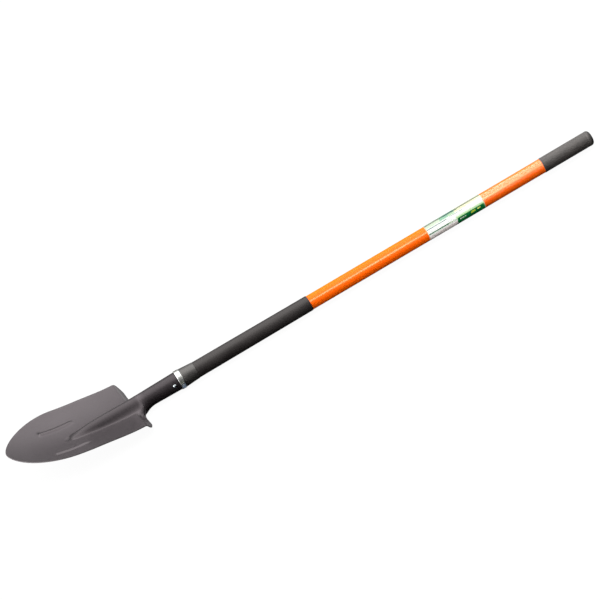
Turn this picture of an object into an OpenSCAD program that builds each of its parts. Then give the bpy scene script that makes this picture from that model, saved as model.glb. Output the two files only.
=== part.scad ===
// Garden spade: a round-nosed pressed blade with a rolled socket, riveted to a
// straight fibreglass handle with a rubber end grip.
//
// Millimetres. The spade lies face up along X:
//   +X runs up the handle towards the end grip, +Z is the side the blade's
//   face looks to, +Y is across the blade. Left is -Y and right is +Y.
// The origin is on the handle's axis, half way along the straight wall of the
// end grip, so the socket's band sits at x = -handle_reach and the blade's tip
// is beyond it at about x = -1336.

/* [Blade] */

// Length of the blade from the tip to the shoulder, along its curve
blade_length = 290; // [280:1:300]
// Full width of the blade
blade_width = 217; // [200:1:230]
// How far from the tip the blade reaches its full width
point_length = 130; // [115:1:145]
// Thickness of the pressed sheet
sheet = 1.8; // [1.4:0.1:2.4]
// Angle the blade turns through from the shoulder to the tip
lift_angle = 22.4; // [16:0.2:28]
// Radius of the dish across the blade
dish_radius = 368; // [300:4:500]
// Distance the sheet lies below the handle's axis at the shoulder
sheet_drop = 1.9; // [0:0.1:4]

/* [Frog and beads] */

// Distance from the tip to the start of the frog, the pressed ridge that runs into the socket
frog_start = 136; // [128:1:150]
// Half width of the frog at the shoulder
frog_half_width = 23.5; // [20:0.5:26]
// Distance of the -Y bead from the centre line, at its middle
bead_offset_left = 53.1; // [48:0.1:58]
// Distance of the +Y bead from the centre line, at its middle
bead_offset_right = 50.5; // [46:0.1:55]
// Length of the -Y bead
bead_length_left = 86.5; // [70:0.5:90]
// Length of the +Y bead
bead_length_right = 83.5; // [70:0.5:90]
// Height of each bead above the face
bead_height = 3; // [1:0.1:4]
// Start of the bead on the -Y side, from the tip
bead_start_left = 87.5; // [84:0.5:96]
// Start of the bead on the +Y side, from the tip
bead_start_right = 81; // [76:0.5:86]

/* [Foot treads] */

// Width of the strip turned back to make each tread
tread_depth = 23.2; // [18:0.2:25]
// Angle the tread is turned through
tread_angle = 62; // [40:1:70]
// Radius of the tread's bend
tread_radius = 6.4; // [5:0.2:9]
// Extra length of the -Y tread at its outer corner
tread_ear_left = 9; // [0:0.5:10]
// Extra length of the +Y tread at its outer corner
tread_ear_right = 4; // [0:0.5:7]
// How much nearer the handle the -Y tread stands than the +Y one
tread_skew = 6; // [0:0.5:7]

/* [Socket] */

// Outside diameter of the socket at the blade
socket_neck_d = 37.1; // [36.8:0.1:38]
// Outside diameter of the socket at its mouth
socket_mouth_d = 40.2; // [40:0.1:40.4]
// Gap of the open seam along the back
seam_gap = 2.5; // [1:0.1:4]
// Width of the zinc band round the socket's mouth
band_width = 10.6; // [10:0.2:14]
// Outside diameter of the band
band_d = 42.5; // [42.2:0.1:43]
// Length of the tapered collar above the band
collar_length = 33; // [24:1:40]

/* [Rivet] */

// Distance from the middle of the band down to the rivet
rivet_offset = 17.5; // [15:0.5:30]
// Shank diameter
rivet_d = 6; // [5:0.2:6.4]
// Head diameter
rivet_head_d = 8; // [7.4:0.2:10]
// Turn of the rivet from the face side towards -Y
rivet_turn = 82; // [70:1:90]

/* [Handle] */

// Distance from the origin to the middle of the band
handle_reach = 945.9; // [800:0.1:1100]
// Outside diameter of the fibreglass tube
shaft_d = 32; // [31.6:0.1:32]
// Wall of the fibreglass tube
shaft_wall = 3.4; // [2.6:0.1:4.4]
// Length of the black sleeve above the band
sleeve_length = 309.5; // [200:0.5:360]
// Start of the label wrap, measured from the middle of the band
label_start = 602.5; // [520:0.5:640]
// Length of the label wrap
label_length = 137; // [100:1:160]

/* [End grip] */

// Outside diameter of the end grip
grip_d = 33.4; // [33:0.1:34]
// Length of the grip's straight wall
grip_length = 115.5; // [90:0.5:140]
// Depth of the rounded end beyond the straight wall
grip_nose = 7; // [6:0.5:9]

/* [Hidden] */

$fn = 96;
fit_gap = 0.02;
radian = 180/PI; // in degrees

// places along the handle
x_band = -handle_reach;
x_band_top = x_band + band_width/2;
x_shoulder = x_band - 106.9;
x_taper = x_shoulder + 20; // where the socket starts to widen
x_mouth = x_band + 3.4;
x_rivet = x_band - rivet_offset;
x_collar_top = x_band_top + collar_length;
x_sleeve_foot = x_band - 40;
x_sleeve_top = x_band_top + sleeve_length;
x_label = x_band + label_start;
x_grip_foot = -grip_length/2;
x_grip_top = grip_length/2;
x_shaft_foot = x_shoulder + 43;
x_shaft_top = x_grip_top - 1;

// outline of the flat sheet, with distances from the tip
blade_half = blade_width/2;
tip_half = 3.4;
point_power_along = 1.98;
point_power_across = 1.54;
corner_left = 3.6;
corner_right = 11;
edge_end = blade_length + 4.6;
edge_slope = 4.7;
slope_end = edge_end + edge_slope;
slope_half = 41; // half width where the sloping edge meets the neck's fillet
neck_half = 37;
neck_fillet = 15;

// relief of the blade
lift_radius = blade_length/(lift_angle*PI/180);
frog_height = socket_neck_d/2 - sheet/2 + sheet_drop + 0.15;
frog_start_half = 3;
bead_half = 8.4;
bead_end_left = bead_start_left + bead_length_left;
bead_splay_left = 0.2;
bead_splay_right = 3;

// socket: where the sheet starts and ends its roll, and its middle radii
roll_start = blade_length - 8.8;
roll_end = blade_length + 41;
neck_radius = socket_neck_d/2 - sheet/2;
mouth_outer = socket_mouth_d/2;
mouth_radius = mouth_outer - sheet/2;

// rivet, along its own axis
rivet_seat = mouth_outer - 0.28;
head_height = 2.3;
peen_radius = 4.9;
peen_height = 2;
washer_radius = 6;
washer_thick = 1.2;

// handle
shaft_radius = shaft_d/2;
core_radius = shaft_radius - shaft_wall;
core_fit = core_radius - fit_gap;
sleeve_in_socket = 17.3;
sleeve_max = 18.1;
label_thick = 0.17;

// ---------------------------------------------------------------- helpers

function clamp(value, low, high) = min(max(value, low), high);

// smooth step from 0 at start to 1 at end; start may be the larger
function ease(start, end, value) =
    let (t = clamp((value - start)/(end - start), 0, 1)) t*t*(3 - 2*t);

// the larger of two heights, with a fillet of depth blend/4 where they cross
function soft_max(first, second, blend) =
    let (near = max(blend - abs(first - second), 0)/blend)
    max(first, second) + near*near*blend/4;

function unit(v) = v/max(norm(v), 1e-9);

// the value for the side of the blade that across lies on
function side(across, left, right) = across < 0 ? left : right;

// two triangles of a four-cornered patch, split from its first corner
function quad(p, q, r, s) = [[p, q, r], [p, r, s]];

// a solid of revolution about X, from [x, radius] pairs
module turned(profile) {
    rotate([0, 90, 0]) rotate([0, 0, 90])
        rotate_extrude() polygon([for (p = profile) [p[1], p[0]]]);
}

// cylinder along X from x0 to x1
module bar(x0, x1, radius) {
    translate([x0, 0, 0]) rotate([0, 90, 0]) cylinder(r = radius, h = x1 - x0);
}

// ------------------------------------------------------- the pressed sheet
// The whole blade is one sheet. A point of it is named by along, the distance
// from the tip, and across, which runs from -1 at the -Y edge to 1 at the +Y
// edge. At the shoulder the sheet narrows and then rolls up into the socket,
// whose two edges face each other across the open seam at the back.

// half width of the flat sheet: the point and full width, the rounded corner
// at the foot tread, the sloping edge, and the fillet into the neck
function half_width(along, corner) =
    let (past = along - edge_end)
    past <= -corner
        ? let (left = max(1 - max(along, 0)/point_length, 0))
          tip_half + (blade_half - tip_half)
              *pow(1 - pow(left, point_power_along), 1/point_power_across)
    : past <= 0
        ? blade_half - corner + corner*sqrt(max(1 - pow((past + corner)/corner, 2), 0))
    : past <= edge_slope
        ? (blade_half - corner) + (slope_half - blade_half + corner)*past/edge_slope
    : let (left = 1 - min((past - edge_slope)/neck_fillet, 1))
      neck_half + (slope_half - neck_half)*(1 - sqrt(max(1 - left*left, 0)));

// height of the face above the curved centre line: dish, frog and beads. The
// dish hangs a little deeper near the point, a dimple marks the frog's start,
// and the valley beside the frog fills out towards the shoulder
function face_height(along, across, y) =
    let (dish = y*y/(2*dish_radius)*(1 - 0.37*ease(180, blade_length, along)),
         edge = half_width(along, corner_left),
         hang = 0.25*ease(0, 60, along)*(1 - ease(115, 180, along))
            *(y*y - edge*edge)/(2*dish_radius),
         // frog: progress from its start (0) to the shoulder (1), and its section
         run = clamp((along - frog_start)/(blade_length - frog_start), 0, 1),
         frog_half = frog_start_half + (frog_half_width - frog_start_half)*pow(run, 0.4),
         crest = frog_height*(1 - pow(1 - run, 2.8)) + 1e-6,
         ridge = max(crest*(1 - y*y/(frog_half*frog_half)), -60),
         blend = min(5 + 3*run + 6*run*run*run, 0.05 + 1.6*crest),
         body = along < frog_start ? dish : soft_max(dish, ridge, blend),
         dimple = 2*exp(-(pow(along - frog_start + 1, 2) + y*y)/40),
         // bead on this side
         start = side(across, bead_start_left, bead_start_right),
         length = side(across, bead_length_left, bead_length_right),
         end = start + length,
         bead_y = side(across, bead_offset_left, bead_offset_right)
            + tan(side(across, bead_splay_left, bead_splay_right))*(along - start - length/2),
         fade = ease(start, start + 7, along)*(1 - ease(end - 16, end, along)))
    body + hang - dimple + bead_height*fade*ease(bead_half, 0, abs(abs(y) - bead_y));

// middle surface of the sheet
function sheet_point(along, across) =
    // centre line, curved up towards the tip
    let (lift = along < blade_length ? lift_angle*(1 - along/blade_length) : 0,
         x = x_shoulder - lift_radius*sin(lift) + max(along - blade_length, 0),
         z = -sheet_drop + lift_radius*(1 - cos(lift)),
         skew = tread_skew/2*ease(180, 280, along),
         y = across*side(across, half_width(along - skew, corner_left),
                                 half_width(along + skew, corner_right)),
         // turned-back foot treads: length of sheet past the start of the bend,
         // then the same with the ear added
         tread_start = slope_end - tread_depth - (tread_skew/2 + 0.25)*clamp(y/80, -1, 1),
         flat = clamp(along - tread_start, 0, tread_depth + 8)*ease(22, 44, abs(y)),
         ear = side(across, tread_ear_left, tread_ear_right)
            *ease(66, 108, abs(y))*ease(edge_end - 20, edge_end, along),
         strip = flat + ear,
         bend = min(strip/tread_radius*radian, tread_angle),
         rest = strip - tread_radius*bend/radian,
         shift = tread_radius*sin(bend) + rest*cos(bend) - flat,
         down = tread_radius*(1 - cos(bend)) + rest*sin(bend),
         height = face_height(along, across, y) - down,
         // rolled socket
         roll = ease(roll_start, roll_end, along),
         radius = neck_radius + (mouth_radius - neck_radius)
            *clamp((x - x_taper)/(x_mouth - x_taper), 0, 1),
         turn = across*(180 - seam_gap/2/radius*radian),
         rolled_y = y*(1 - roll) + radius*sin(turn)*roll,
         rolled_h = height*(1 - roll) + (radius*cos(turn) + sheet_drop)*roll,
         rolled_x = shift*(1 - roll))
    [x + rolled_x*cos(lift) + rolled_h*sin(lift),
     rolled_y,
     z - rolled_x*sin(lift) + rolled_h*cos(lift)];

// stations from the tip to the mouth, close together at the tip, at the ends
// of the beads, at the start of the frog and through the shoulder
mouth_along = blade_length + x_mouth - x_shoulder;
skew_half = max(tread_skew/2, 0.4);
stations = concat(
    [0, 0.8, 2.2, 4.5, 8, 13, 19, 26, 34, 43, 53, 63],
    [for (i = [0:5]) bead_start_right - 6 + i*(bead_start_left + 18 - bead_start_right)/5],
    [for (i = [1:2]) bead_start_left + 12 + i*(frog_start - bead_start_left - 20)/3],
    [for (i = [0:6]) frog_start - 8 + i*3.6],
    [for (i = [0:3]) bead_end_left - 18 + i*6],
    [for (i = [1:8]) bead_end_left + 1 + i*(blade_length - bead_end_left - 26)/8],
    [for (i = [1:9]) blade_length - 25 + i*2.9],
    // these two threes overlap when tread_skew is more than edge_slope
    [for (middle = [edge_end, slope_end]) for (i = [-1:1]) middle + i*skew_half],
    [for (i = [1:6]) slope_end + skew_half + i*3],
    [for (i = [1:3]) slope_end + skew_half + 18 + i*5],
    [mouth_along - 52, mouth_along - 26, mouth_along]);

// lines along the blade, closer over the frog, the beads and the edges
bead_in = min(bead_offset_left, bead_offset_right) - 7.6;
bead_out = max(bead_offset_left, bead_offset_right) + 8.4;
half_lines = concat(
    [0, 0.03, 0.065, 0.105, 0.145, 0.185, 0.23, 0.28, 0.34],
    [for (i = [0:6]) (bead_in + i*(bead_out - bead_in)/6)/blade_half],
    [0.66, 0.76, 0.86, 0.94, 1]);
lines = concat([for (i = [len(half_lines) - 1:-1:1]) -half_lines[i]], half_lines);

module pressed_sheet() {
    rows = len(stations);
    cols = len(lines);
    last_row = rows - 1;
    last_col = cols - 1;
    middle = [for (along = stations) [for (across = lines) sheet_point(along, across)]];
    normals = [for (i = [0:last_row]) [for (j = [0:last_col])
        unit(cross(
            unit(middle[min(i + 1, last_row)][j] - middle[max(i - 1, 0)][j]),
            unit(middle[i][min(j + 1, last_col)] - middle[i][max(j - 1, 0)])))]];
    // all the points of the face side, then all those of the back
    points = [for (way = [1, -1]) for (i = [0:last_row]) for (j = [0:last_col])
        middle[i][j] + way*normals[i][j]*sheet/2];
    back = rows*cols;
    // the patches are split along mirrored diagonals on the two sides of the centre line
    faces = concat(
        // face side
        [for (i = [0:last_row - 1]) for (j = [0:last_col - 1])
            let (a = i*cols + j, b = a + 1, c = b + cols, d = a + cols)
            each j < last_col/2 ? quad(b, c, d, a) : quad(a, b, c, d)],
        // back
        [for (i = [0:last_row - 1]) for (j = [0:last_col - 1])
            let (a = back + i*cols + j, b = a + 1, c = b + cols, d = a + cols)
            each j < last_col/2 ? quad(b, a, d, c) : quad(a, d, c, b)],
        // -Y edge
        [for (i = [0:last_row - 1])
            let (a = i*cols, d = a + cols)
            each quad(a, d, back + d, back + a)],
        // +Y edge
        [for (i = [0:last_row - 1])
            let (a = i*cols + last_col, d = a + cols)
            each quad(a, back + a, back + d, d)],
        // tip
        [for (j = [0:last_col - 1]) each quad(j + 1, j, back + j, back + j + 1)],
        // mouth
        [for (j = [0:last_col - 1])
            let (a = last_row*cols + j, b = a + 1)
            each quad(a, b, back + b, back + a)]);
    polyhedron(points = points, faces = faces, convexity = 12);
}

// ------------------------------------------------------------- the pieces

// sets children on the rivet's axis, with their +Z towards its head
module at_rivet() {
    translate([x_rivet, 0, 0]) rotate([rivet_turn, 0, 0]) children();
}

module rivet_hole(d) {
    at_rivet() cylinder(d = d, h = 60, center = true);
}

module blade() color([0.20, 0.19, 0.19]) difference() {
    pressed_sheet();
    rivet_hole(rivet_d + 0.3);
}

// zinc-plated strip wrapped round the socket's mouth, its ends lapped and
// spot-welded on the -Y side
module ferrule_ring() color([0.80, 0.82, 0.82]) {
    half = band_width/2;
    outer = band_d/2;
    inner = mouth_outer + 0.12;
    union() {
        turned([[x_band - half, inner], [x_band - half, outer - 0.45],
                [x_band - half + 0.5, outer - 0.1], [x_band - half + 1.3, outer],
                [x_band + half - 1.3, outer], [x_band + half - 0.5, outer - 0.1],
                [x_band + half, outer - 0.45], [x_band + half, inner]]);
        // lap of the strip
        rotate([88, 0, 0]) rotate([0, 90, 0]) rotate([0, 0, 180]) translate([0, 0, x_band])
            rotate_extrude(angle = 46)
                polygon([[outer - 0.3, -half + 0.7], [outer + 0.35, -half + 0.9],
                         [outer + 0.5, -half + 1.4], [outer + 0.5, half - 1.4],
                         [outer + 0.35, half - 0.9], [outer - 0.3, half - 0.7]]);
        // spot weld
        translate([x_band, 0, 0]) rotate([104, 0, 0])
            cylinder(r1 = 2.2, r2 = 1.7, h = outer + 0.85);
    }
}

module socket_rivet() color([0.78, 0.79, 0.80]) {
    head_radius = rivet_head_d/2;
    dome_radius = (head_radius*head_radius + head_height*head_height)/(2*head_height);
    peen_base = -rivet_seat - washer_thick;
    at_rivet() union() {
        // shank
        translate([0, 0, -rivet_seat - 1.6]) cylinder(d = rivet_d, h = 2*rivet_seat + 1.8);
        // domed head
        intersection() {
            translate([0, 0, rivet_seat + head_height - dome_radius]) sphere(r = dome_radius);
            translate([0, 0, rivet_seat]) cylinder(r = head_radius + 1, h = head_height + 1);
        }
        // peened end, over the washer
        intersection() {
            translate([0, 0, peen_base - peen_height + peen_radius]) sphere(r = peen_radius);
            translate([0, 0, peen_base - 3]) cylinder(r = 6, h = 3);
        }
    }
}

module rivet_washer() color([0.66, 0.67, 0.69]) {
    at_rivet() translate([0, 0, -rivet_seat - washer_thick]) difference() {
        // the rim stands out between two smaller faces
        union() {
            cylinder(r = washer_radius, h = washer_thick);
            translate([0, 0, 0.2]) cylinder(r = washer_radius + 0.2, h = washer_thick - 0.4);
        }
        translate([0, 0, -1]) cylinder(r = rivet_d/2 + 0.04, h = 4);
    }
}

// black tapered collar that closes the socket's mouth
module socket_collar() color([0.13, 0.13, 0.13]) {
    x_foot = x_mouth + 0.4;
    x_step = x_band_top + 0.3;
    difference() {
        turned([[x_foot, 0], [x_foot, mouth_outer - 0.1], [x_step, mouth_outer - 0.1],
                [x_step + 0.1, mouth_outer + 0.2], [x_step + 1.2, mouth_outer + 0.35],
                [x_collar_top - 2.4, 18.55], [x_collar_top - 1, 18.4],
                [x_collar_top, 18.15], [x_collar_top, 0]]);
        bar(x_foot - 1, x_collar_top + 1, sleeve_max + fit_gap);
    }
}

// black plastic sleeve over the lower handle, reduced where it enters the socket
module lower_sleeve() color([0.12, 0.12, 0.12]) {
    x_step = x_mouth + 0.2;
    difference() {
        turned([[x_sleeve_foot, 0], [x_sleeve_foot, sleeve_in_socket - 0.4],
                [x_sleeve_foot + 1, sleeve_in_socket], [x_step, sleeve_in_socket],
                [x_step, sleeve_max], [x_collar_top, 17.95], [x_sleeve_top - 2, 16.95],
                [x_sleeve_top - 0.6, 16.8], [x_sleeve_top, 16.5], [x_sleeve_top, 0]]);
        bar(x_sleeve_foot - 1, x_sleeve_top + 1, shaft_radius + fit_gap);
        rivet_hole(rivet_d + 0.1);
    }
}

// pultruded fibreglass tube, orange
module shaft_tube() color([0.95, 0.42, 0.05]) {
    bevel = 0.8;
    difference() {
        turned([[x_shaft_foot, 0], [x_shaft_foot, shaft_radius - bevel],
                [x_shaft_foot + bevel, shaft_radius], [x_shaft_top - bevel, shaft_radius],
                [x_shaft_top, shaft_radius - bevel], [x_shaft_top, 0]]);
        bar(x_shaft_foot - 1, x_shaft_top + 1, core_radius);
        rivet_hole(rivet_d + 0.1);
    }
}

// hardwood dowel that stops the tube being crushed by the rivet
module core_plug() color([0.72, 0.55, 0.36]) {
    x_foot = x_shaft_foot + 1;
    x_top = x_band + 82;
    difference() {
        turned([[x_foot, 0], [x_foot, core_radius - 0.8], [x_foot + 1, core_fit],
                [x_top - 2, core_fit], [x_top, core_radius - 1.5], [x_top, 0]]);
        rivet_hole(rivet_d + 0.1);
    }
}

// printed film wrapped round the handle
module label_wrap() color([0.93, 0.94, 0.92]) difference() {
    bar(x_label, x_label + label_length, shaft_radius + label_thick);
    bar(x_label - 1, x_label + label_length + 1, shaft_radius + fit_gap);
}

// rubber cap over the end of the handle
module end_grip() color([0.16, 0.16, 0.15]) {
    radius = grip_d/2;
    sweep = 75;
    nose_inset = 5.5;
    // rounded nose, an ellipse from the straight wall to the end face
    nose = [for (a = [0:7.5:sweep])
        [x_grip_top + grip_nose*sin(a)/sin(sweep),
         radius - nose_inset*(1 - cos(a))/(1 - cos(sweep))]];
    difference() {
        turned(concat([[x_grip_foot, 0], [x_grip_foot, radius]], nose,
                      [[x_grip_top + grip_nose, 0]]));
        bar(x_grip_foot - 1, x_shaft_top + fit_gap, shaft_radius + fit_gap);
    }
}

// plug in the top of the tube, behind the grip's end
module end_plug() color([0.72, 0.55, 0.36]) {
    x_foot = x_shaft_top - 38;
    x_top = x_shaft_top - 0.5;
    turned([[x_foot, 0], [x_foot, core_radius - 1.2], [x_foot + 2, core_fit],
            [x_top, core_fit], [x_top, 0]]);
}

blade();
ferrule_ring();
socket_rivet();
rivet_washer();
socket_collar();
lower_sleeve();
shaft_tube();
core_plug();
label_wrap();
end_grip();
end_plug();
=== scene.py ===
"""A long-handled digging tool lying along X, with +Z up.

The handle's axis is the X axis. The blade's tip points to -X and is bent up; the end
grip is at +X. The blade and grip are modelled here, and the other CAD pieces keep their
shape and get procedural finishes. Sizes are in mm unless a name or comment says otherwise;
shaders, lights and the camera work in metres.
"""

import math
from functools import cached_property

import bpy
import numpy as np
from mathutils import Matrix, Vector


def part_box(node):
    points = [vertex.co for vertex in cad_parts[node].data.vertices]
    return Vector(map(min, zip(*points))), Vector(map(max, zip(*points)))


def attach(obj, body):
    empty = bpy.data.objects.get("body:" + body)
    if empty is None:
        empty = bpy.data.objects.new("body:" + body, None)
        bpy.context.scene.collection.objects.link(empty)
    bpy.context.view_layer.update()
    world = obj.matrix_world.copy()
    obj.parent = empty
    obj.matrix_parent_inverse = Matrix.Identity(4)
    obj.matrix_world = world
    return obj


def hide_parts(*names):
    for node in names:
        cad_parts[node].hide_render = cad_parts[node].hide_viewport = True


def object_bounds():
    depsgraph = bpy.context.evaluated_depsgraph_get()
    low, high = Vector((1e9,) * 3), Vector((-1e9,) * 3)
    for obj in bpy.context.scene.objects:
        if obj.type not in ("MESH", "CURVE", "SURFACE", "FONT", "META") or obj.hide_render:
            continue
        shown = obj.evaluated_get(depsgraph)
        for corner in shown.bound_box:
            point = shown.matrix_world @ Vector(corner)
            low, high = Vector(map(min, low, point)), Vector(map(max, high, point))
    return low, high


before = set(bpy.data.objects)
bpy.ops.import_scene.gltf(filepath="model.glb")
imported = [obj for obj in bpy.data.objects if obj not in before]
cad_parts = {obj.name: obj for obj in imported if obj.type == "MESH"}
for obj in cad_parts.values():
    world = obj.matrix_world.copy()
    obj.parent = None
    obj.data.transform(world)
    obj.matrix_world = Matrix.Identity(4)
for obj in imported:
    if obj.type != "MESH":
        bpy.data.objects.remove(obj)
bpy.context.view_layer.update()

MM = 0.001
scene = bpy.context.scene


# ------------------------------------------------------------------ places
def box_mm(node):
    """Low and high corners of a CAD node."""
    return [np.array(corner) * 1000 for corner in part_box(node)]


def x_ends(node):
    return [float(corner[0]) for corner in box_mm(node)]


BLADE_LOW, BLADE_HIGH = box_mm("blade")
BAND_LOW, BAND_HIGH = box_mm("ferrule_ring")
X_BAND = float((BAND_LOW[0] + BAND_HIGH[0]) / 2)
X_SHOULDER = X_BAND - 106.9
X_MOUTH = X_BAND + 3.4
LABEL_X0, LABEL_X1 = x_ends("label_wrap")
GRIP_X0, GRIP_X1 = x_ends("end_grip")
GRIP_RADIUS = float(box_mm("end_grip")[1][2])
SLEEVE_X1 = x_ends("lower_sleeve")[1]
LABEL_SPAN = (LABEL_X0 * MM, LABEL_X1 * MM)

# The blade is one sheet. A station is the distance along it from the tip; "half" is a
# distance from its centre line; a pair gives the -Y half, then the +Y half.
SHEET = 1.8
SHOULDER = 290.0              # station where the lengthways bend ends, at X_SHOULDER
LIFT = 22.4                   # degrees the tip is bent up
DROP = 1.9                    # sheet below the handle's axis at the shoulder
DISH_RADIUS = 368.0           # curve across the blade
POINT_LENGTH = 130.0          # tip to full width
POINT_POWERS = (1.98, 1.54)   # roundness of the point's outline
TIP_HALF = 3.4
BLADE_HALF = 108.5
CORNER_RADII = (3.6, 11.0)
CORNER_END = 294.6            # station where the corners finish
TAPER_LENGTH = 4.7            # from there in to the neck's fillet
TAPER_HALF = 41.0
FILLET_LENGTH = 15.0
NECK_HALF = 37.0
SKEW = 6.0                    # lag between the two halves' shoulders
FROG_START = 136.0            # central ridge that widens towards the socket
FROG_HALVES = (3, 23.5)       # half width at its start and at the shoulder
BEAD_STARTS = (87.5, 81.0)    # raised bead on each side of the frog
BEAD_LENGTHS = (86.5, 83.5)
BEAD_OFFSETS = (53.1, 50.5)
BEAD_TILTS = (0.2, 3.0)       # degrees
BEAD_HEIGHT = 3.0
BEAD_REACH = 8.4              # from crest to foot
TREAD_DEPTH = 23.2            # rear strip folded down
TREAD_ANGLE = 62.0
TREAD_RADIUS = 6.4
EAR_LENGTHS = (9.0, 4.0)      # extra fold at the outer corners
SOCKET_BLEND = (-8.8, 41.0)   # stations from the shoulder where the sheet rolls up
SOCKET_NECK_RADIUS = 37.1 / 2 - SHEET / 2
SOCKET_MOUTH_RADIUS = 40.2 / 2 - SHEET / 2
SEAM_GAP = 2.5                # open seam under the socket

# Grip: pairs are distance along X and depth below the full radius
GRIP_BORE = 16.05
GRIP_LIP = ((0, 0.45), (0.15, 0.18), (0.5, 0.02), (4.0, 0.02), (4.3, 0.24))
GRIP_RING = ((0, 0.24), (0.35, 0.06), (0.75, 0), (1.15, 0.06), (1.5, 0.24))
RING_PITCH = 2.2
RINGS_START = 4.6
NOSE_LENGTH = 7.0
NOSE_DEPTH = 5.5
NOSE_SWEEP = 75               # degrees of arc
CLOSED_RADIUS = 0.01          # where a profile all but meets the axis


# ------------------------------------------------------------------ shader helpers
class Graph:
    """Short forms for building a node tree."""

    def __init__(self, tree):
        self.tree = tree
        tree.nodes.clear()

    def put(self, socket, value):
        """Link a socket, or set a number or tuple; a colour gets alpha 1."""
        if isinstance(value, bpy.types.NodeSocket):
            self.tree.links.new(value, socket)
        elif isinstance(value, tuple):
            missing = len(socket.default_value) - len(value)
            socket.default_value = value + (1.0,) * missing
        else:
            socket.default_value = value

    def node(self, kind, inputs=(), **settings):
        node = self.tree.nodes.new("ShaderNode" + kind)
        for name, value in settings.items():
            setattr(node, name, value)
        for key, value in dict(inputs).items():
            self.put(node.inputs[key], value)
        return node

    def math(self, operation, *values):
        return self.node("Math", enumerate(values), operation=operation).outputs[0]

    def add(self, first, second):
        return self.math("ADD", first, second)

    def sub(self, first, second):
        return self.math("SUBTRACT", first, second)

    def mul(self, first, second):
        return self.math("MULTIPLY", first, second)

    def split(self, vector):
        return tuple(self.node("SeparateXYZ", {0: vector}).outputs)

    def degrees_round(self, y, z):
        """Angle round the X axis, from +Z towards -Y."""
        return self.mul(self.math("ARCTAN2", self.mul(y, -1.0), z), 180 / math.pi)

    def remap(self, value, span, to=(0.0, 1.0), kind="LINEAR"):
        values = enumerate((value, *span, *to))
        return self.node("MapRange", values, interpolation_type=kind).outputs[0]

    def smooth(self, value, span, to=(0.0, 1.0)):
        return self.remap(value, span, to, "SMOOTHSTEP")


class Material(Graph):
    """A principled material textured by position in the object, in metres."""

    def __init__(self, name):
        self.material = bpy.data.materials.new(name)
        self.material.use_nodes = True
        super().__init__(self.material.node_tree)
        output = self.node("OutputMaterial")
        self.shader = self.node("BsdfPrincipled")
        self.put(output.inputs[0], self.shader.outputs[0])
        self.position = self.node("TexCoord").outputs["Object"]

    def finish(self, **values):
        """Fill the shader's sockets (base_color is "Base Color"); return the material."""
        for key, value in values.items():
            name = "Specular IOR Level" if key == "specular" else key.replace("_", " ").title()
            self.put(self.shader.inputs[name], value)
        return self.material

    @cached_property
    def xyz(self):
        return self.split(self.position)

    @cached_property
    def angle(self):
        return self.degrees_round(*self.xyz[1:])

    def vector(self, x, y, z):
        return self.node("CombineXYZ", enumerate((x, y, z))).outputs[0]

    def scaled(self, scale):
        return self.node("Mapping", {0: self.position, "Scale": scale}).outputs[0]

    def noise(self, vector=None, scale=1.0, detail=4.0, rough=0.55, distort=0.0):
        return self.node("TexNoise", {
            "Vector": vector or self.position, "Scale": scale, "Detail": detail,
            "Roughness": rough, "Distortion": distort}).outputs["Fac"]

    def streaks(self, along, around, detail, rough=0.55):
        """Noise with its own frequency along the handle (per metre) and round it (per degree)."""
        vector = self.vector(self.mul(self.xyz[0], along), self.mul(self.angle, around), 0.0)
        return self.noise(vector, detail=detail, rough=rough)

    def weighted(self, first, second, share):
        return self.add(self.mul(first, share), self.mul(second, 1 - share))

    def ramp(self, value, *stops):
        """Colour ramp from (position, colour) stops."""
        node = self.node("ValToRGB", {0: value})
        elements = node.color_ramp.elements
        while len(elements) > 1:
            elements.remove(elements[-1])
        for i, (place, colour) in enumerate(stops):
            element = elements.new(place) if i else elements[0]
            element.position = place
            element.color = (*colour, 1.0)
        return node.outputs[0]

    def mix(self, first, second, amount, mode="MIX"):
        return self.node("Mix", {0: amount, 6: first, 7: second},
                         data_type="RGBA", blend_type=mode).outputs[2]

    def shade(self, colour, factor):
        return self.mix(colour, self.vector(factor, factor, factor), 1.0, "MULTIPLY")

    def bump(self, height, strength, distance, normal=None):
        inputs = {"Strength": strength, "Distance": distance, "Height": height}
        if normal is not None:
            inputs["Normal"] = normal
        return self.node("Bump", inputs).outputs[0]

    def round_edges(self, radius):
        return self.node("Bevel", {0: radius}, samples=4).outputs[0]

    def attribute(self, name):
        return self.node("Attribute", attribute_name=name).outputs["Fac"]


def srgb(*channels):
    """Linear colour from 8-bit sRGB channels."""
    return tuple((c / 255) / 12.92 if c / 255 <= 0.04045 else ((c / 255 + 0.055) / 1.055) ** 2.4
                 for c in channels)


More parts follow.
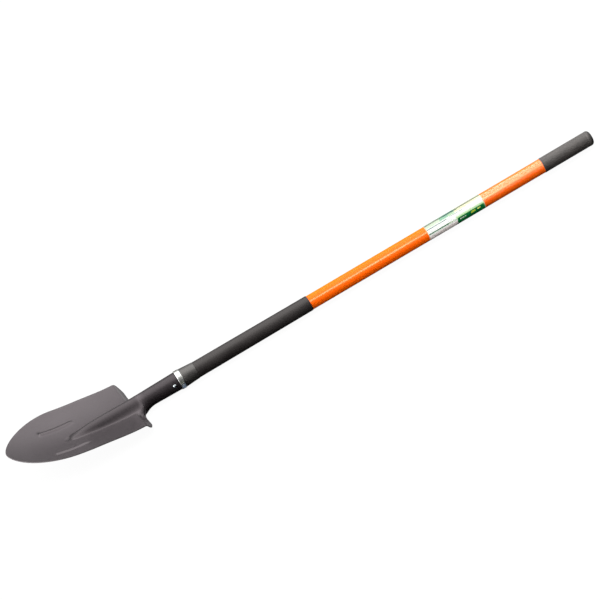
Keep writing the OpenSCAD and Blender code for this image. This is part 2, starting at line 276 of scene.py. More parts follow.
# ------------------------------------------------------------------ materials
def blade_coat():
    """Dark graphite powder coat over pressed steel."""
    m = Material("graphite_powder_coat")
    grain = m.noise(scale=160.0, detail=3.0, rough=0.6)
    colour = m.ramp(m.weighted(m.noise(scale=9.0, detail=3.0), grain, share=0.6),
                    (0.30, (0.0163, 0.0130, 0.0146)),
                    (0.50, (0.0200, 0.0162, 0.0180)),
                    (0.72, (0.0247, 0.0205, 0.0226)))
    specks = m.remap(m.node("TexVoronoi", {"Vector": m.position, "Scale": 900.0})
                     .outputs["Distance"], span=(0.0, 0.35), to=(0.16, 0.0))
    colour = m.mix(colour, (0.050, 0.042, 0.044), amount=specks)
    patches = m.smooth(m.noise(scale=70.0, detail=5.0), span=(0.42, 0.68))
    rubbed = m.mul(m.attribute("edge_wear"), patches)
    colour = m.mix(colour, (0.075, 0.068, 0.066), amount=m.mul(rubbed, 0.35))
    # painted shade: the coat is darker in corners and creases, from ambient occlusion
    openness = m.node("AmbientOcclusion", {"Distance": 0.03}, samples=4).outputs["AO"]
    painted_corner_shade = m.remap(openness, span=(0.35, 0.95), to=(0.35, 0.0))
    colour = m.mix(colour, (0.010, 0.008, 0.008), amount=painted_corner_shade)
    # painted shade: the coat's colour, specular and coat weight are scaled by the painted shade
    # attribute
    painted_shade = m.attribute("coat_tone")
    peel = m.bump(m.noise(scale=420.0, detail=2.0, rough=0.5), strength=0.20,
                  distance=0.00035, normal=m.round_edges(0.0006))
    return m.finish(
        base_color=m.shade(colour, painted_shade), metallic=0.0,
        specular=m.mul(painted_shade, 0.70), specular_tint=(1.0, 0.875, 0.92),
        roughness=m.remap(grain, span=(0.3, 0.7), to=(0.36, 0.50)),
        coat_weight=m.mul(painted_shade, 0.18), coat_roughness=0.34,
        normal=m.bump(m.noise(scale=28.0, detail=2.0), strength=0.10, distance=0.0012,
                      normal=peel))


def zinc():
    """Bright zinc plate on a rolled strip, finely brushed round the band."""
    m = Material("bright_zinc_plate")
    brushed = m.streaks(along=900.0, around=0.03, detail=5.0)
    colour = m.ramp(m.weighted(brushed, m.noise(scale=90.0, detail=4.0), share=0.5),
                    (0.3, (0.46, 0.47, 0.455)),
                    (0.55, (0.60, 0.61, 0.595)),
                    (0.8, (0.70, 0.705, 0.70)))
    # faint iridescent passivation
    tint = m.ramp(m.noise(scale=55.0, detail=2.0, distort=1.0),
                  (0.35, (0.86, 0.90, 1.0)), (0.5, (1.0, 1.0, 1.0)), (0.68, (1.0, 0.96, 0.84)))
    return m.finish(
        base_color=m.mix(colour, tint, amount=0.55, mode="MULTIPLY"), metallic=1.0,
        roughness=m.remap(brushed, span=(0.3, 0.7), to=(0.20, 0.36)),
        normal=m.bump(brushed, strength=0.25, distance=0.00012, normal=m.round_edges(0.0004)))


def rivet_metal(name, dull, bright):
    m = Material(name)
    dents = m.noise(scale=260.0, detail=2.0)
    return m.finish(
        base_color=m.ramp(m.noise(scale=700.0, detail=4.0), (0.3, dull), (0.7, bright)),
        metallic=1.0, roughness=m.remap(dents, span=(0.3, 0.7), to=(0.16, 0.34)),
        normal=m.bump(dents, strength=0.22, distance=0.0003, normal=m.round_edges(0.00025)))


def collar_plastic():
    """Moulded black plastic with fine turned lines."""
    m = Material("moulded_black_plastic")
    line_pitch = 0.0022
    lines = m.math("SINE", m.mul(m.xyz[0], 2 * math.pi / line_pitch))
    grain = m.noise(scale=650.0, detail=3.0)
    scuffs = m.noise(m.scaled((14, 60, 60)), scale=4.0, detail=5.0)
    colour = m.ramp(m.weighted(grain, scuffs, share=0.5),
                    (0.35, (0.0150, 0.0142, 0.0136)),
                    (0.55, (0.0195, 0.0185, 0.0176)),
                    (0.75, (0.0260, 0.0250, 0.0238)))
    grained = m.bump(grain, strength=0.30, distance=0.00025, normal=m.round_edges(0.0006))
    return m.finish(
        base_color=colour, specular=1.0, specular_tint=(1.0, 0.960, 0.925),
        roughness=m.remap(scuffs, span=(0.3, 0.7), to=(0.40, 0.50)),
        normal=m.bump(lines, strength=0.25, distance=0.00018, normal=grained))


def sleeve_plastic():
    """Extruded black plastic: fine lengthways drawing lines, soft sheen."""
    m = Material("extruded_black_sleeve")
    drawn = m.streaks(along=3.0, around=0.55, detail=4.0, rough=0.7)
    clouds = m.noise(scale=26.0, detail=4.0)
    colour = m.ramp(m.weighted(drawn, clouds, share=0.45),
                    (0.32, (0.0125, 0.0106, 0.0104)),
                    (0.52, (0.0163, 0.0140, 0.0137)),
                    (0.75, (0.0218, 0.0187, 0.0182)))
    lined = m.bump(drawn, strength=0.18, distance=0.00022, normal=m.round_edges(0.0005))
    return m.finish(
        base_color=colour, specular=0.41, specular_tint=(1.0, 0.955, 0.925),
        roughness=m.add(m.remap(clouds, span=(0.3, 0.7), to=(0.42, 0.54)),
                        m.mul(m.sub(drawn, 0.5), 0.10)),
        normal=m.bump(m.noise(scale=800.0, detail=2.0), strength=0.15, distance=0.00015,
                      normal=lined))


def fibreglass():
    """Glass fibre in orange resin: lengthways rovings under a clear skin."""
    m = Material("orange_fibreglass")
    # yellow for the resin's random depth, and for the painted light on top
    yellow_and_painted_light = (0.98, 0.128, 0.003)
    rovings = m.streaks(along=5.0, around=0.9, detail=6.0, rough=0.75)
    fine = m.streaks(along=22.0, around=3.2, detail=3.0)
    colour = m.ramp(m.weighted(rovings, fine, share=0.6),
                    (0.30, (0.93, 0.104, 0.0010)),
                    (0.50, (0.97, 0.120, 0.0012)),
                    (0.72, (0.99, 0.142, 0.0022)))
    depth = m.remap(m.noise(scale=7.0, detail=3.0), span=(0.35, 0.7), to=(0.0, 0.25))
    colour = m.mix(colour, yellow_and_painted_light, amount=depth)
    # painted light: surfaces that face up are painted yellower, as if lit from above
    painted_light_up = m.split(m.node("NewGeometry").outputs["Normal"])[2]
    colour = m.mix(colour, yellow_and_painted_light, amount=m.smooth(painted_light_up, span=(0.15, 0.95)))
    # the clear skin is stronger beyond the label, towards the grip
    x = m.xyz[0]
    return m.finish(
        base_color=colour, specular=0.035,
        roughness=m.remap(rovings, span=(0.3, 0.7), to=(0.34, 0.44)),
        coat_weight=m.smooth(x, span=LABEL_SPAN, to=(0.12, 0.80)),
        coat_roughness=m.smooth(x, span=LABEL_SPAN, to=(0.25, 0.34)),
        subsurface_weight=0.12, subsurface_scale=0.004, subsurface_radius=(1.0, 0.35, 0.08),
        normal=m.bump(rovings, strength=0.06, distance=0.00020))


def grip_rubber():
    """Moulded rubber with a fine cross texture."""
    m = Material("ribbed_black_rubber")
    x = m.xyz[0]
    pitch_along = 0.0016
    pitch_round = 5.5  # degrees
    along = m.mul(x, 1 / pitch_along)
    around = m.mul(m.angle, 1 / pitch_round)
    cross = m.mul(*[m.math("SINE", m.mul(diagonal, 2 * math.pi))
                    for diagonal in (m.add(along, around), m.sub(along, around))])
    grain = m.noise(scale=1400.0, detail=2.0)
    colour = m.ramp(m.noise(m.scaled((20, 60, 60)), scale=3.0, detail=5.0),
                    (0.32, (0.0180, 0.0150, 0.0130)),
                    (0.52, (0.0235, 0.0192, 0.0167)),
                    (0.72, (0.0320, 0.0262, 0.0227)))
    # painted shade: darker in the grooves of the cross texture
    groove_shade = m.remap(cross, span=(-0.6, 0.8), to=(0.30, 0.0))
    colour = m.mix(colour, (0.011, 0.010, 0.0095), amount=groove_shade)
    # painted shade: darker towards the +X end
    painted_shade = m.smooth(x, span=((GRIP_X1 - 8.5) * MM, (GRIP_X1 - 2.0) * MM), to=(1.0, 0.38))
    crossed = m.bump(cross, strength=0.35, distance=0.00022, normal=m.round_edges(0.0004))
    return m.finish(
        base_color=m.shade(colour, painted_shade),
        roughness=m.remap(grain, span=(0.3, 0.7), to=(0.50, 0.68)),
        specular=m.mul(painted_shade, 0.92), specular_tint=(1.0, 0.965, 0.94),
        sheen_weight=0.06, sheen_roughness=0.5,
        normal=m.bump(grain, strength=0.20, distance=0.00012, normal=crossed))


def wood(name):
    """Ash with growth rings centred beside the dowel, and lengthways pores."""
    m = Material(name)
    _, y, z = m.xyz
    heart = 0.03        # rings centre on y = -heart
    warp_depth = 0.006
    ring_rate = 2600.0  # radians per metre
    radius = m.math("SQRT", m.add(m.mul(m.add(y, heart), m.add(y, heart)), m.mul(z, z)))
    warp = m.noise(m.scaled((6, 40, 40)), detail=3.0)
    rings = m.math("SINE", m.mul(m.add(radius, m.mul(warp, warp_depth)), ring_rate))
    colour = m.ramp(m.remap(rings, span=(-1, 1)),
                    (0.0, (0.36, 0.22, 0.115)),
                    (0.5, (0.52, 0.355, 0.20)),
                    (1.0, (0.62, 0.45, 0.27)))
    pores = m.noise(m.scaled((30, 1800, 1800)), detail=3.0)
    pore_depth = m.remap(pores, span=(0.52, 0.75), to=(0.0, 0.5))
    return m.finish(base_color=m.mix(colour, (0.24, 0.14, 0.07), amount=pore_depth),
                    roughness=0.62, specular=0.35,
                    normal=m.bump(pores, strength=0.2, distance=0.0003))


# Label print, painted in order. Columns: start and end as shares of the label's length,
# start and end angle, slant (share per degree), softness (degrees), opacity, sRGB colour.
LABEL_PRINT = (
    # bands over the crown
    (-0.1, 0.26, 6, 31, 0, 1.2, 1, (214, 238, 205)),
    (0.26, 0.41, -30, 30, 0, 1.2, 1, (128, 196, 158)),
    (0.41, 0.53, -30, 30, 0, 1.2, 1, (166, 214, 164)),
    (0.53, 1.1, 6, 27, 0, 1.2, 1, (240, 246, 186)),
    # painted shade: the dark olive band along the top edge
    (-0.1, 1.1, -9, 4, 0, 2.0, 0.85, (112, 112, 74)),
    (0.27, 0.52, -12, 9, -0.0035, 2.0, 0.9, (46, 112, 104)),
    (0.53, 1.1, -60, -9, 0, 1.2, 1, (224, 236, 176)),
    (-0.1, 0.53, -60, -9, 0, 1.2, 1, (150, 200, 164)),
    # narrow lines
    (0.0, 0.36, 38.5, 44.0, 0, 0.8, 1, (56, 116, 108)),
    (0.42, 0.66, 34.5, 39.0, 0, 0.8, 0.9, (96, 140, 120)),
    (0.0, 0.40, 74.5, 82, 0.001, 1.0, 1, (40, 108, 66)),
    (0.36, 0.50, 77, 81, 0, 0.8, 0.9, (150, 182, 120)),
    (0.02, 0.50, 83, 88, 0, 1.2, 0.5, (176, 198, 172)),
    # pale panel, low on the -X half, and its five lines
    (0.02, 0.505, 93, 175, 0.0006, 1.2, 1, (246, 236, 232)),
    *((0.06 + 0.01 * (i % 2), 0.44 - 0.03 * (i % 3), 98 + i * 7.5, 98 + i * 7.5 + 1.6,
       0, 0.5, 0.5, (206, 202, 198)) for i in range(5)),
    # green block, low on the +X half, with its soft upper edge
    (0.50, 1.1, 64, 86, 0, 8.0, 0.8, (170, 220, 140)),
    (0.52, 1.1, 77, 180, 0.0006, 3.5, 1, (10, 116, 56)),
)
# Dashes in the green block: start, end, start and end angle, colour
LABEL_DASHES = (
    (0.555, 0.585, 90, 98, (226, 238, 222)), (0.595, 0.63, 90, 98, (226, 238, 222)),
    (0.64, 0.665, 90, 98, (206, 222, 204)), (0.76, 0.80, 86, 100, (214, 226, 60)),
    (0.806, 0.836, 86, 100, (196, 218, 62)), (0.87, 0.90, 86, 98, (230, 238, 120)),
    (0.906, 0.925, 86, 98, (230, 238, 120)),
)
# Rows low on the +Y side, then the film's two ends; columns as in LABEL_PRINT
LABEL_OVERPRINT = (
    *((0.10, 0.86 - 0.09 * ((i * 3) % 4), -160 + i * 11, -160 + i * 11 + 3.4,
       0, 0.6, 0.7, (150, 172, 152)) for i in range(7)),
    (-0.05, 0.012, -200, 200, 0, 1.2, 0.6, (228, 214, 180)),
    (0.988, 1.05, -200, 200, 0, 1.2, 0.6, (236, 224, 190)),
)


def label_film():
    """Glossy printed film: plain bands, blocks and dashes, with nothing written."""
    m = Material("printed_label_film")
    share = m.remap(m.xyz[0], span=LABEL_SPAN)
    angle = m.angle

    def patch(start, end, angle0, angle1, slant, softness, end_softness=0.006):
        """Mask of a soft-edged rectangle."""
        place = share
        if slant:
            place = m.add(share, m.mul(m.sub(angle, angle0), slant))
        mask = None
        for value, low, high, soft in ((place, start, end, end_softness),
                                       (angle, angle0, angle1, softness)):
            rise = m.smooth(value, span=(low - soft, low + soft))
            fall = m.smooth(value, span=(high - soft, high + soft), to=(1, 0))
            mask = m.mul(rise if mask is None else m.mul(mask, rise), fall)
        return mask

    def paint(colour, mask, rgb, opacity):
        return m.mix(colour, srgb(*rgb), mask if opacity == 1 else m.mul(mask, opacity))

    mottling = m.remap(m.noise(scale=60.0, detail=3.0), span=(0.35, 0.7), to=(0.0, 0.5))
    colour = m.mix((0.90, 0.925, 0.89), (0.955, 0.96, 0.94), amount=mottling)
    for *place, opacity, rgb in LABEL_PRINT:
        colour = paint(colour, patch(*place), rgb, opacity)
    # darker mottling within the green block
    leaf = m.noise(m.vector(m.mul(share, 9.0), m.mul(angle, 0.05), 0.0), scale=1.4, detail=4.0)
    leaf_area = patch(0.53, 1.1, 80, 178, slant=0.0006, softness=3.0)
    leaf_mask = m.mul(leaf_area, m.smooth(leaf, span=(0.48, 0.66)))
    colour = paint(colour, leaf_mask, (4, 70, 34), opacity=0.75)
    for *place, rgb in LABEL_DASHES:
        dash = patch(*place, slant=0.0012, softness=0.8, end_softness=0.004)
        colour = paint(colour, dash, rgb, opacity=0.9)
    for *place, opacity, rgb in LABEL_OVERPRINT:
        colour = paint(colour, patch(*place), rgb, opacity)
    # painted shade: the film is painted darker over the crown and the +Y side
    painted_shade = m.smooth(angle, span=(12.0, 95.0), to=(0.37, 1.0))
    wrinkles = m.bump(m.streaks(along=60.0, around=0.06, detail=2.0),
                      strength=0.10, distance=0.0003)
    return m.finish(base_color=m.shade(colour, painted_shade), roughness=0.34, specular=0.3,
                    coat_weight=0.25, coat_roughness=0.09,
                    normal=wrinkles, coat_normal=wrinkles)


def floor_paper():
    """Seamless paper that glows, so that it stays almost white."""
    m = Material("studio_floor")
    clouds = m.noise(scale=1.2, detail=2.0)
    return m.finish(base_color=m.mix((0.030, 0.030, 0.030), (0.034, 0.034, 0.034), clouds),
                    roughness=0.9, specular=0.0,
                    emission_color=(1.0, 1.0, 1.0), emission_strength=0.955)


# ------------------------------------------------------------------ blade shape
def ease(start, end, value):
    """Smooth step from 0 at start to 1 at end."""
    t = np.clip((value - start) / (end - start), 0, 1)
    return t * t * (3 - 2 * t)


def soft_max(first, second, reach):
    overlap = np.maximum(reach - np.abs(first - second), 0) / reach
    return np.maximum(first, second) + overlap * overlap * reach / 4


def by_side(across, pair):
    """The first value on the -Y half of the sheet, the second on the +Y half."""
    return np.where(across < 0, pair[0], pair[1])


def half_width(station, radius):
    """Outline of the sheet, with shoulder corners of the given radius."""
    power, root = POINT_POWERS
    to_full = np.maximum(1 - np.clip(station / POINT_LENGTH, 0, 1), 0)
    point = TIP_HALF + (BLADE_HALF - TIP_HALF) * (1 - to_full ** power) ** (1 / root)
    turn = (station - CORNER_END + radius) / radius
    corner = BLADE_HALF - radius + radius * np.sqrt(np.clip(1 - turn ** 2, 0, 1))
    taper = ((BLADE_HALF - radius)
             + (TAPER_HALF - BLADE_HALF + radius) * (station - CORNER_END) / TAPER_LENGTH)
    turn = 1 - np.clip((station - CORNER_END - TAPER_LENGTH) / FILLET_LENGTH, 0, 1)
    fillet = NECK_HALF + (TAPER_HALF - NECK_HALF) * (1 - np.sqrt(np.clip(1 - turn ** 2, 0, 1)))
    return np.where(station <= CORNER_END - radius, point,
                    np.where(station <= CORNER_END, corner,
                             np.where(station <= CORNER_END + TAPER_LENGTH, taper, fillet)))


def frog_share(station):
    return np.clip((station - FROG_START) / (SHOULDER - FROG_START), 0, 1)


def frog_half(station):
    start, end = FROG_HALVES
    return start + (end - start) * frog_share(station) ** 0.4


def relief(station, across, y):
    """Height of the dish, frog and beads above the bent centre line."""
    # the dish flattens near the shoulder, and the edges hang a little behind the point
    dish = y * y / (2 * DISH_RADIUS) * (1 - 0.37 * ease(180, SHOULDER, station))
    width = half_width(station, CORNER_RADII[0])
    hang = (0.25 * ease(0, 60, station) * (1 - ease(115, 180, station))
            * (y * y - width * width) / (2 * DISH_RADIUS))
    # the frog is a parabolic ridge that climbs to the socket, merged softly with the dish
    share = frog_share(station)
    half = frog_half(station)
    top = (SOCKET_NECK_RADIUS + DROP + 0.15) * (1 - (1 - share) ** 2.8) + 1e-6
    ridge = np.maximum(top * (1 - y * y / (half * half)), -60)
    reach = np.minimum(5 + 3 * share + 6 * share ** 3, 0.05 + 1.6 * top)
    body = np.where(station < FROG_START, dish, soft_max(dish, ridge, reach))
    # a round dimple sits at the start of the frog
    dimple = 2 * np.exp(-((station - FROG_START + 1) ** 2 + y * y) / 40)
    # each bead fades in over 7 mm and out over 16 mm
    start, length = by_side(across, BEAD_STARTS), by_side(across, BEAD_LENGTHS)
    crest = (by_side(across, BEAD_OFFSETS)
             + np.tan(np.radians(by_side(across, BEAD_TILTS))) * (station - start - length / 2))
    fade = (ease(start, start + 7, station)
            * (1 - ease(start + length - 16, start + length, station)))
    near = np.clip(1 - np.abs(np.abs(y) - crest) / BEAD_REACH, 0, 1)
    return body + hang - dimple + BEAD_HEIGHT * fade * near * near * (3 - 2 * near)


def tread_fold(station, across, y):
    """Shift along and down of the strip rolled down beside the socket."""
    away = np.abs(y)
    start = (CORNER_END + TAPER_LENGTH - TREAD_DEPTH
             - (SKEW / 2 + 0.25) * np.clip(y / 80, -1, 1))
    flat = np.clip(station - start, 0, TREAD_DEPTH + 8) * ease(22, 44, away)
    ear = (by_side(across, EAR_LENGTHS) * ease(66, 108, away)
           * ease(CORNER_END - 20, CORNER_END, station))
    folded = flat + ear
    turn = np.minimum(folded / TREAD_RADIUS, math.radians(TREAD_ANGLE))
    straight = folded - TREAD_RADIUS * turn
    along = TREAD_RADIUS * np.sin(turn) + straight * np.cos(turn) - flat
    down = TREAD_RADIUS * (1 - np.cos(turn)) + straight * np.sin(turn)
    return along, down


def sheet_point(station, across):
    """Middle of the sheet at a station; across runs from -1 at the -Y edge to 1."""
    bend = np.radians(np.where(station < SHOULDER, LIFT * (1 - station / SHOULDER), 0.0))
    bend_radius = SHOULDER / math.radians(LIFT)
    centre_x = X_SHOULDER - bend_radius * np.sin(bend) + np.maximum(station - SHOULDER, 0)
    centre_z = -DROP + bend_radius * (1 - np.cos(bend))
    skew = SKEW / 2 * ease(180, 280, station)
    y = across * half_width(np.where(across < 0, station - skew, station + skew),
                            by_side(across, CORNER_RADII))
    along, down = tread_fold(station, across, y)
    height = relief(station, across, y) - down
    # blend into the tube of the socket
    rolled = ease(SHOULDER + SOCKET_BLEND[0], SHOULDER + SOCKET_BLEND[1], station)
    flare = np.clip((centre_x - X_SHOULDER - 20) / (X_MOUTH - X_SHOULDER - 20), 0, 1)
    radius = SOCKET_NECK_RADIUS + (SOCKET_MOUTH_RADIUS - SOCKET_NECK_RADIUS) * flare
    wrap = across * (math.pi - SEAM_GAP / 2 / radius)
    y = y * (1 - rolled) + radius * np.sin(wrap) * rolled
    height = height * (1 - rolled) + (radius * np.cos(wrap) + DROP) * rolled
    return np.stack([centre_x + along * (1 - rolled) * np.cos(bend) + height * np.sin(bend), y,
                     centre_z - along * (1 - rolled) * np.sin(bend) + height * np.cos(bend)],
                    -1)


def unit(vectors):
    return vectors / np.maximum(np.linalg.norm(vectors, axis=-1, keepdims=True), 1e-9)


def tangents(points):
    """Unit directions down the first axis of a grid of points."""
    return unit(np.concatenate([points[1:2] - points[:1], points[2:] - points[:-2],
                                points[-1:] - points[-2:-1]], 0))


# ------------------------------------------------------------------ meshes
def new_object(name, points_mm, faces):
    """Smooth-shaded mesh object."""
    mesh = bpy.data.meshes.new(name)
    mesh.from_pydata((np.asarray(points_mm, float) * MM).tolist(), [],
                     np.asarray(faces).tolist())
    mesh.validate()
    mesh.update()
    mesh.polygons.foreach_set("use_smooth", [True] * len(mesh.polygons))
    built = bpy.data.objects.new(name, mesh)
    scene.collection.objects.link(built)
    return built


def blade_grid():
    """Stations and across values of the sheet's grid, closer where the shape turns."""
    fine = 1
    mouth = SHOULDER + X_MOUTH - X_SHOULDER
    taper_end = CORNER_END + TAPER_LENGTH
    stations = np.unique(np.round(np.concatenate([
        [0, 0.25, 0.6, 1.1, 1.8, 2.8, 4.0],
        np.linspace(5.5, 60, 26 // fine), np.linspace(60, 180, 76 // fine),
        np.linspace(180, 262, 34 // fine), np.linspace(262, 304, 84 // fine),
        np.linspace(304, 346, 40 // fine), np.linspace(346, mouth, 16 // fine),
        [CORNER_END - 3, CORNER_END, CORNER_END + 3],
        [taper_end - 3, taper_end, taper_end + 3]]), 4))
    half = np.concatenate([
        np.linspace(0, 0.30, 27 // fine), np.linspace(0.30, 0.39, 6)[1:],
        np.linspace(0.39, 0.56, 20 // fine)[1:], np.linspace(0.56, 0.96, 22 // fine)[1:],
        [0.975, 0.988, 1.0]])
    return np.meshgrid(stations, np.concatenate([-half[:0:-1], half]), indexing="ij")


def edge_wear(station, across):
    """Wear within 7 mm of the point's edge and tip."""
    width = half_width(station, CORNER_RADII[0])
    wear = np.maximum(1 - (1 - np.abs(across)) * width / 7.0, 0)
    return np.maximum(wear * (1 - ease(250, 300, station)), np.clip(1 - station / 7.0, 0, 1))


def coat_tone(station, y):
    """Painted shade in the coat: duller over the frog and socket, dark beside the relief."""
    half = frog_half(station)
    place = y / half
    on_frog = ease(130, 150, station) * (1 - ease(292, 304, station))
    painted_shade = 0.97 - 0.29 * on_frog * (1 - ease(0.95, 1.25, np.abs(place)))
    # painted shade on the frog's -Y flank
    painted_shade *= 1 - ((0.14 + 0.16 * ease(225, 285, station)) * on_frog * ease(150, 190, station)
                 * np.exp(-((place + 0.66) / 0.30) ** 2))
    # painted shade at the foot of the frog's +Y flank
    painted_shade *= 1 - (0.45 * ease(132, 142, station) * (1 - ease(254, 266, station))
                 * np.exp(-((place - 0.98) / 0.20) ** 2))
    # painted shade on the socket
    painted_shade *= 1 - 0.39 * ease(298, 318, station)
    # painted shade on the sheet beyond the frog on the -Y side
    painted_shade *= 1 - (0.17 * ease(150, 180, station) * (1 - ease(262, 285, station))
                 * ease(-0.5, 0.5, (-y - half - 9) / 3))
    # painted shade on the +Y tread
    painted_shade *= 1 - (0.42 * ease(CORNER_END - 15, CORNER_END - 5, station)
                 * (1 - ease(300, 306, station)) * ease(42, 52, y))
    # painted dark spots of shade: station, y, radius, strength
    for spot, spot_y, radius, strength in (
            (FROG_START + 2, 2.0, 4.5, 0.58),
            (BEAD_STARTS[1] + 4, BEAD_OFFSETS[1] + 5.5, 3.2, 0.50),
            (BEAD_STARTS[0] + 2, -BEAD_OFFSETS[0] - 1, 2.6, 0.15),
            (257, 22.5, 3.4, 0.35)):
        distance2 = (station - spot) ** 2 + (y - spot_y) ** 2
        painted_shade *= 1 - strength * np.exp(-distance2 / (2 * radius * radius))
    return painted_shade


def build_blade():
    """The sheet thickened to its top and under faces, closed by a crisp rim."""
    station, across = blade_grid()
    middle = sheet_point(station, across)
    normal = unit(np.cross(tangents(middle), tangents(middle.swapaxes(0, 1)).swapaxes(0, 1)))
    offset = normal * (SHEET / 2)
    points = np.concatenate([(middle + offset).reshape(-1, 3), (middle - offset).reshape(-1, 3)])
    points = np.clip(points, BLADE_LOW + 1e-4, BLADE_HIGH - 1e-4)

    under = station.size  # index of the first point of the under face
    index = np.arange(under).reshape(station.shape)
    corners = index[:-1, :-1], index[1:, :-1], index[1:, 1:], index[:-1, 1:]
    top_faces = np.stack(corners, -1).reshape(-1, 4)
    under_faces = top_faces[:, [0, 3, 2, 1]] + under
    rims = []
    for line, order in ((index[:, 0], (0, 3, 2, 1)), (index[:, -1], (0, 1, 2, 3)),
                        (index[0], (0, 1, 2, 3)), (index[-1], (0, 3, 2, 1))):
        near, far = line[:-1], line[1:]
        rims.append(np.stack([near, far, far + under, near + under], -1)[:, list(order)])
    rim = np.concatenate(rims)
    built = new_object("blade_pressing", points, np.concatenate([top_faces, under_faces, rim]))

    attributes = built.data.attributes
    # real edge wear, and the painted shade of the coat
    for name, values in (("edge_wear", edge_wear(station, across)),
                         ("coat_tone", coat_tone(station, middle[..., 1]))):
        both = np.concatenate([values.ravel(), values.ravel()]).astype(np.float32)
        attributes.new(name, "FLOAT", "POINT").data.foreach_set("value", both)

    # sharp where the rim meets the top or the under face
    sharp = set()
    for face in rim.tolist():
        for i in range(4):
            ends = sorted((face[i], face[(i + 1) % 4]))
            if (ends[0] < under) == (ends[1] < under):
                sharp.add(tuple(ends))
    flags = np.array([tuple(sorted(edge.vertices)) in sharp for edge in built.data.edges])
    attributes.new("sharp_edge", "BOOLEAN", "EDGE").data.foreach_set("value", flags)
    built.data.update()
    return built


def lathe(name, profile, segments):
    """Solid of revolution about X from a closed loop of (x, radius) points."""
    outline = np.array(profile, float)
    turn = np.linspace(0, 2 * math.pi, segments, endpoint=False)
    points = np.stack([np.repeat(outline[:, 0], segments),
                       -np.outer(outline[:, 1], np.sin(turn)).ravel(),
                       np.outer(outline[:, 1], np.cos(turn)).ravel()], -1)
    faces = []
    for i in range(len(outline)):
        ring, next_ring = i * segments, (i + 1) % len(outline) * segments
        for j in range(segments):
            k = (j + 1) % segments
            faces.append((ring + j, ring + k, next_ring + k, next_ring + j))
    return new_object(name, points, faces)


def build_grip():
    """Ringed cap with a rounded nose, inside the CAD cap's outline."""
    nose_x = GRIP_X1 - NOSE_LENGTH
    profile = [(GRIP_X0, GRIP_BORE)]
    profile += [(GRIP_X0 + dx, GRIP_RADIUS - depth) for dx, depth in GRIP_LIP]
    x = GRIP_X0 + RINGS_START
    while x + RING_PITCH < nose_x - 5:
        profile += [(x + dx, GRIP_RADIUS - depth) for dx, depth in GRIP_RING]
        x += RING_PITCH
    profile += [(nose_x - 4.2, GRIP_RADIUS - 0.24), (nose_x - 3.9, GRIP_RADIUS - 0.02)]
    sweep = math.radians(NOSE_SWEEP)
    for degrees in np.linspace(0, NOSE_SWEEP, 16):
        turn = math.radians(degrees)
        profile.append((nose_x + NOSE_LENGTH * math.sin(turn) / math.sin(sweep),
                        GRIP_RADIUS - NOSE_DEPTH * (1 - math.cos(turn)) / (1 - math.cos(sweep))))
    # shallow recess in the end face, then the floor of the bore
    profile += [(GRIP_X1, 6.0), (GRIP_X1 - 0.25, 5.6), (GRIP_X1 - 0.25, CLOSED_RADIUS),
                (GRIP_X1 - 7.6, CLOSED_RADIUS), (GRIP_X1 - 7.6, GRIP_BORE)]
    return lathe("rubber_end_grip", profile, segments=144)


# ------------------------------------------------------------------ pieces
blade = build_blade()
blade.data.materials.append(blade_coat())
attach(blade, "root")
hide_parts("blade")

grip = build_grip()
grip.data.materials.append(grip_rubber())
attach(grip, "root")
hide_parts("end_grip")

# the other CAD nodes keep their shape and get a better finish
finishes = {
    "ferrule_ring": zinc(),
    "socket_rivet": rivet_metal("rivet_steel", (0.27, 0.30, 0.31), (0.41, 0.44, 0.45)),
    "rivet_washer": rivet_metal("washer_steel", (0.38, 0.39, 0.40), (0.62, 0.63, 0.64)),
    "socket_collar": collar_plastic(),
    "lower_sleeve": sleeve_plastic(),
    "shaft_tube": fibreglass(),
    "label_wrap": label_film(),
    "core_plug": wood("core_dowel_wood"),
    "end_plug": wood("end_plug_wood"),
}
for name, material in finishes.items():
    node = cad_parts[name]
    if not node.material_slots:
        node.data.materials.append(material)
    for slot in node.material_slots:
        slot.material = material


# ------------------------------------------------------------------ floor and world
def build_floor():
    """Square just under the lowest point; seen by the camera but lighting nothing."""
    half = 9
    z = Vector(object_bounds()[0]).z - 0.0002
    mesh = bpy.data.meshes.new("studio_floor")
    mesh.from_pydata([(-half, -half, z), (half, -half, z), (half, half, z), (-half, half, z)],
                     [], [(0, 1, 2, 3)])
    floor = bpy.data.objects.new("studio_floor", mesh)
    scene.collection.objects.link(floor)
    floor.data.materials.append(floor_paper())
    floor.visible_diffuse = False
    floor.visible_glossy = False
    floor.visible_shadow = False


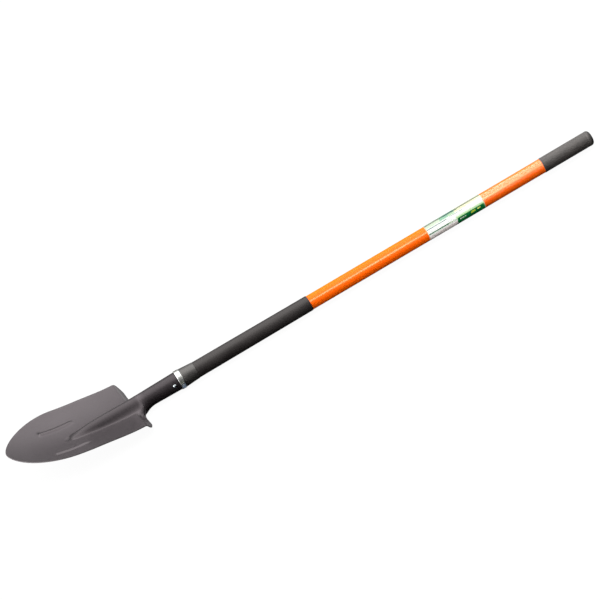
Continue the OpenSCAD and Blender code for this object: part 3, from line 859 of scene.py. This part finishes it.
def build_world():
    """Dome of soft light in three parts, divided by direction along X.

    A bright wall lies beyond the blade, a softbox overhead in the middle and a fill beyond
    the grip. Within each, light varies with the angle round X: 0 is up, positive is -Y.
    """
    world = bpy.data.worlds.new("studio")
    scene.world = world
    world.use_nodes = True
    w = Graph(world.node_tree)
    x, y, z = w.split(w.node("TexCoord").outputs["Generated"])
    angle = w.degrees_round(y, z)
    towards_grip = w.mul(w.math("ARCSINE", x), 180 / math.pi)
    grip_part = w.smooth(towards_grip, span=(15, 45))
    blade_part = w.smooth(w.mul(towards_grip, -1.0), span=(15, 45))
    middle_part = w.sub(w.sub(1.0, grip_part), blade_part)

    softbox = w.mul(w.smooth(angle, span=(-66, -34)),
                    w.smooth(angle, span=(14, 44), to=(1.9, 0.2)))
    low_glow = w.mul(w.smooth(angle, span=(-175, -80)),
                     w.smooth(angle, span=(-80, -50), to=(0.18, 0.0)))
    softbox = w.add(w.mul(softbox, w.smooth(angle, span=(66, 90), to=(1.0, 0.0))), low_glow)
    # the wall is brightest 10 degrees to the +Y side of straight up
    swing = w.math("COSINE", w.mul(w.add(angle, 10.0), math.pi / 180))
    wall = w.mul(w.add(2.25, w.mul(2.2, swing)),
                 w.smooth(angle, span=(85, 140), to=(1.0, 0.15)))
    fill = w.mul(w.smooth(angle, span=(-170, -35)),
                 w.smooth(angle, span=(32, 72), to=(1.6, 0.0)))
    light = w.add(w.add(w.mul(middle_part, softbox), w.mul(blade_part, wall)),
                  w.mul(grip_part, fill))
    overall = 1.5
    backdrop = 1.0  # least brightness the camera sees directly
    seen = w.mul(w.node("LightPath").outputs["Is Camera Ray"], backdrop)
    strength = w.math("MAXIMUM", w.mul(light, overall), seen)
    background = w.node("Background", {0: (1, 1, 1, 1), 1: strength})
    w.node("OutputWorld", {0: background.outputs[0]})


build_floor()
build_world()

# ------------------------------------------------------------------ lights
LOOK_AT_X = X_BAND * MM + 0.3021
EYE_X = LOOK_AT_X - 0.820  # camera's place along X, and its distance from the handle's axis
EYE_DISTANCE = 6.95
LABEL_MIDDLE = (LABEL_X0 + LABEL_X1) / 2


def placement(x_axis, y_axis, z_axis, place):
    """World matrix from three axes and a place."""
    rows = [(x_axis[i], y_axis[i], z_axis[i], place[i]) for i in range(3)]
    return Matrix((*rows, (0, 0, 0, 1)))


def area_light(name, place, target, size, size_y, radiance, colour):
    """Rectangular light of a given radiance, its first side along the handle."""
    light = bpy.data.lights.new(name, "AREA")
    light.shape = "RECTANGLE"
    light.size, light.size_y = size, size_y
    light.energy = radiance * size * size_y * math.pi
    light.color = colour
    lamp = bpy.data.objects.new(name, light)
    scene.collection.objects.link(lamp)
    z_axis = (Vector(place) - Vector(target)).normalized()
    x_axis = (Vector((1, 0, 0)) - z_axis * z_axis.x).normalized()
    lamp.matrix_world = placement(x_axis, z_axis.cross(x_axis), z_axis, place)
    return lamp


def mirrored_light(name, ends, angles, distance, radiance, colour, receivers):
    """Light the camera sees mirrored in the handle between two x places (mm).

    It spans the given angles round the handle, at a distance in metres from its axis.
    Rays from the camera leave the handle at the angle they came.
    """
    angle = math.radians((angles[0] + angles[1]) / 2)
    low, high = [x * MM + distance * (x * MM - EYE_X) / EYE_DISTANCE for x in ends]
    lamp = area_light(
        name, place=((low + high) / 2, -distance * math.sin(angle), distance * math.cos(angle)),
        target=((ends[0] + ends[1]) / 2 * MM, 0, 0), size=high - low,
        size_y=2 * distance * math.tan(math.radians(abs(angles[1] - angles[0]) / 2)),
        radiance=radiance, colour=colour)
    lamp.visible_diffuse = False
    lamp.visible_camera = False
    group = bpy.data.collections.new(name + "_receivers")
    for receiver in receivers:
        group.objects.link(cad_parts[receiver])
    lamp.light_linking.receiver_collection = group


TUBE = ("shaft_tube",)
TUBE_AND_LABEL = ("shaft_tube", "label_wrap")
BAND_AND_RIVET = ("ferrule_ring", "socket_rivet")
SOFTBOX_ENDS = (LABEL_MIDDLE + 45, GRIP_X0 + 25)
BAND_ENDS = (X_BAND - 60, X_BAND + 60)
# name, x ends, angles, distance, radiance, colour, receivers
for row in (
        ("highlight_strip", (SLEEVE_X1 - 20, LABEL_X0 + 40), (36, 51), 1.6, 128,
         (1.0, 0.91, 0.64), TUBE),
        ("upper_softbox_far", SOFTBOX_ENDS, (-36, 2), 1.6, 23, (1.0, 0.97, 0.82),
         TUBE_AND_LABEL),
        ("upper_softbox_near", SOFTBOX_ENDS, (8, 27), 1.6, 23, (1.0, 0.96, 0.78),
         TUBE_AND_LABEL),
        ("upper_strip", (LABEL_MIDDLE + 20, GRIP_X0 + 10), (75, 83), 1.6, 19,
         (1.0, 0.92, 0.7), TUBE),
        ("band_low_fill", BAND_ENDS, (126, 200), 1.2, 0.62, (0.56, 0.73, 1.0), BAND_AND_RIVET),
        ("band_side_fill", BAND_ENDS, (86, 112), 1.2, 0.50, (0.93, 1.0, 0.86), BAND_AND_RIVET)):
    mirrored_light(*row)


# ------------------------------------------------------------------ camera
def build_camera():
    """Long lens on the -Y side, above and towards the blade, rolled so the handle rises."""
    azimuth, elevation = math.radians(7.736), math.radians(29.497)
    roll = math.radians(-26.721)
    distance = 7.0
    back = Vector((-math.sin(azimuth) * math.cos(elevation),
                   -math.cos(azimuth) * math.cos(elevation), math.sin(elevation)))
    place = Vector((LOOK_AT_X, 0, 0)) + back * distance
    forward = -back
    level = forward.cross(Vector((0, 0, 1))).normalized()
    upright = level.cross(forward)
    right = math.cos(roll) * level + math.sin(roll) * upright
    up = -math.sin(roll) * level + math.cos(roll) * upright
    lens = bpy.data.cameras.new("camera")
    lens.sensor_width = 36
    lens.lens = 201.02268
    lens.shift_x = -0.0070116667
    lens.shift_y = 0.0099966667
    lens.clip_end = 100
    camera = bpy.data.objects.new("camera", lens)
    scene.collection.objects.link(camera)
    camera.matrix_world = placement(right, up, back, place)
    scene.camera = camera


build_camera()
scene.view_settings.view_transform = "Standard"
scene.view_settings.look = "None"
